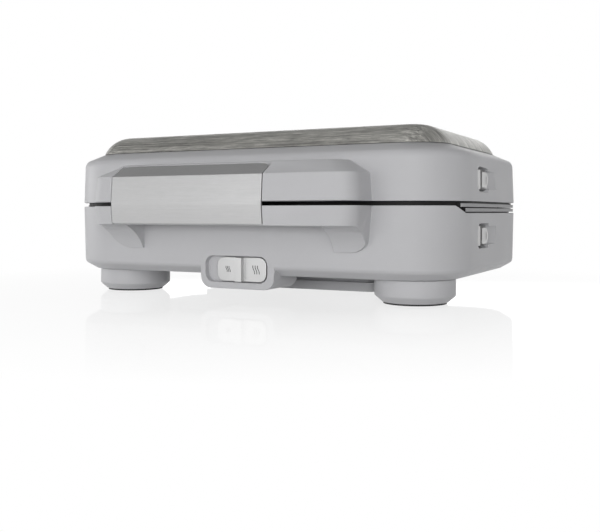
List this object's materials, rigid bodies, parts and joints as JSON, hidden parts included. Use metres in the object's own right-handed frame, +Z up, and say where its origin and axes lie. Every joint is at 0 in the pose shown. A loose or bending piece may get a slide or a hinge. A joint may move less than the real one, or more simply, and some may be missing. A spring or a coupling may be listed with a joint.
{
  "type": "sandwich maker",
  "caption": "Countertop sandwich maker with hinged lid, front handle and latch plate, removable deep-fill plates, side release buttons and a temperature slider.",
  "frame": {"origin": "on the table under the middle of the whole part, from the handle's front to the hinges' back", "axes": "+X to the right seen from the handle, +Y from the handle to the hinges, +Z up"},
  "size_m": [0.265, 0.205, 0.1008],
  "materials": {
    "grey_plastic": "fine satin, light grey",
    "brushed_panel": "streaky brushed dark grey",
    "satin_silver": "satin",
    "silver_plastic": "silver paint, satin",
    "dark_plastic": "matte",
    "frame_plastic": "matte",
    "plate_coating": "ceramic non-stick coating on aluminium",
    "aluminised_sheet": "bright rolled sheet",
    "element_sheath": "oxidised",
    "zinc_steel": "zinc plated",
    "rubber": "matte",
    "ceramic": "matte",
    "red_lens": "translucent",
    "green_lens": "translucent"
  },
  "bodies": {
    "base": {"base_shell": "grey_plastic", "bottom_cover": "grey_plastic", "front_foot_left": "grey_plastic", "front_pad_left": "rubber", "rear_foot_left": "grey_plastic", "rear_pad_left": "rubber", "hinge_pin_left": "zinc_steel", "front_foot_right": "grey_plastic", "front_pad_right": "rubber", "rear_foot_right": "grey_plastic", "rear_pad_right": "rubber", "hinge_pin_right": "zinc_steel", "base_carrier": "frame_plastic", "lower_plate": "plate_coating", "lower_element": "element_sheath", "lower_element_support": "zinc_steel", "lower_reflector": "aluminised_sheet", "lower_plate_clip": "zinc_steel", "lower_thermostat": "ceramic", "lower_release_spring": "zinc_steel", "thermal_fuse": "ceramic", "temperature_switch": "dark_plastic", "terminal_block": "ceramic", "cord_gland": "dark_plastic", "cover_screw_1": "zinc_steel", "cover_screw_2": "zinc_steel", "cover_screw_3": "zinc_steel", "cover_screw_4": "zinc_steel", "base_carrier_screw_1": "zinc_steel", "base_carrier_screw_2": "zinc_steel", "base_carrier_screw_3": "zinc_steel", "base_carrier_screw_4": "zinc_steel"},
    "lid": {"lid_shell": "grey_plastic", "top_panel": "brushed_panel", "lid_carrier": "frame_plastic", "upper_plate": "plate_coating", "upper_element": "element_sheath", "upper_element_support": "zinc_steel", "upper_reflector": "aluminised_sheet", "upper_plate_clip": "zinc_steel", "upper_thermostat": "ceramic", "upper_release_spring": "zinc_steel", "power_lens": "red_lens", "ready_lens": "green_lens", "lamp_board": "dark_plastic", "latch_pin": "zinc_steel", "lid_carrier_screw_1": "zinc_steel", "lid_carrier_screw_2": "zinc_steel", "lid_carrier_screw_3": "zinc_steel", "lid_carrier_screw_4": "zinc_steel"},
    "latch": {"latch_plate": "satin_silver"},
    "lower_button": {"lower_release_button": "silver_plastic"},
    "upper_button": {"upper_release_button": "silver_plastic"},
    "slider": {"temperature_slider": "silver_plastic"}
  },
  "joints": [
    {"name": "lid_hinge", "type": "hinge", "parent": "base", "child": "lid", "pos_m": [0, 0.097, 0.0561], "axis": [-1, 0, 0], "range_deg": [0, 100]},
    {"name": "latch_hinge", "type": "hinge", "parent": "lid", "child": "latch", "pos_m": [0, -0.09062, 0.07599], "axis": [-1, 0, 0], "range_deg": [0, 20]},
    {"name": "lower_release_slide", "type": "slide", "parent": "base", "child": "lower_button", "axis": [-1, 0, 0], "range_m": [0, 0.0025], "stiffness_N_per_m": 600, "springref_m": -0.003, "deforming": ["lower_release_spring"]},
    {"name": "upper_release_slide", "type": "slide", "parent": "lid", "child": "upper_button", "axis": [-1, 0, 0], "range_m": [0, 0.0025], "stiffness_N_per_m": 600, "springref_m": -0.003, "deforming": ["upper_release_spring"]},
    {"name": "temperature_slide", "type": "slide", "parent": "base", "child": "slider", "axis": [-1, 0, 0], "range_m": [0, 0.0072]}
  ]
}
